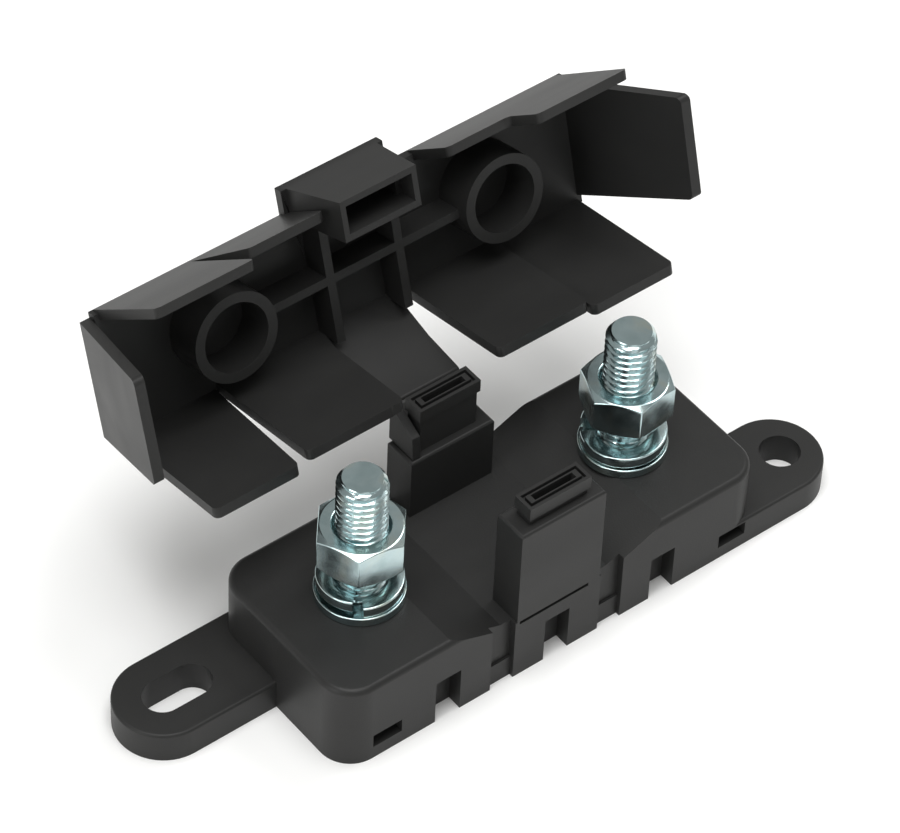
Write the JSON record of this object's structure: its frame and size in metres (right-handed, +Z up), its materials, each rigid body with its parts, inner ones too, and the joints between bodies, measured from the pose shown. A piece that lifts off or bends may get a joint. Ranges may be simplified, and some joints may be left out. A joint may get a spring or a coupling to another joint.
{
  "type": "fuse holder",
  "caption": "Bolt-down fuse holder: black base with threaded studs, washers and nuts, slotted ears and a hinged cover shown open.",
  "frame": {"origin": "centre of the base's underside", "axes": "+X along the base towards the ear with the round hole, +Y towards the cover's hinge, +Z up along the studs"},
  "size_m": [0.1223, 0.0598, 0.0664],
  "materials": {
    "black_nylon": "satin moulded, fine texture",
    "black_polypropylene": "satin moulded",
    "zinc_steel": "bright zinc plate, faint blue"
  },
  "bodies": {
    "base": {"base": "black_nylon", "hinge_clip": "black_polypropylene", "left_stud": "zinc_steel", "right_stud": "zinc_steel", "left_flat_washer": "zinc_steel", "right_flat_washer": "zinc_steel", "left_spring_washer": "zinc_steel", "right_spring_washer": "zinc_steel"},
    "cover": {"cover": "black_polypropylene"},
    "left_nut": {"left_nut": "zinc_steel"},
    "right_nut": {"right_nut": "zinc_steel"}
  },
  "joints": [
    {"name": "cover_hinge", "type": "hinge", "parent": "base", "child": "cover", "pos_m": [0, 0.0187, 0.0291], "axis": [1, 0, 0], "range_deg": [-25, 105.4]},
    {"name": "left_nut_turn", "type": "hinge", "parent": "base", "child": "left_nut", "pos_m": [-0.0255, 0, 0.0283], "axis": [0, 0, 1], "continuous": true},
    {"name": "right_nut_turn", "type": "hinge", "parent": "base", "child": "right_nut", "pos_m": [0.0255, 0, 0.0283], "axis": [0, 0, 1], "continuous": true}
  ]
}
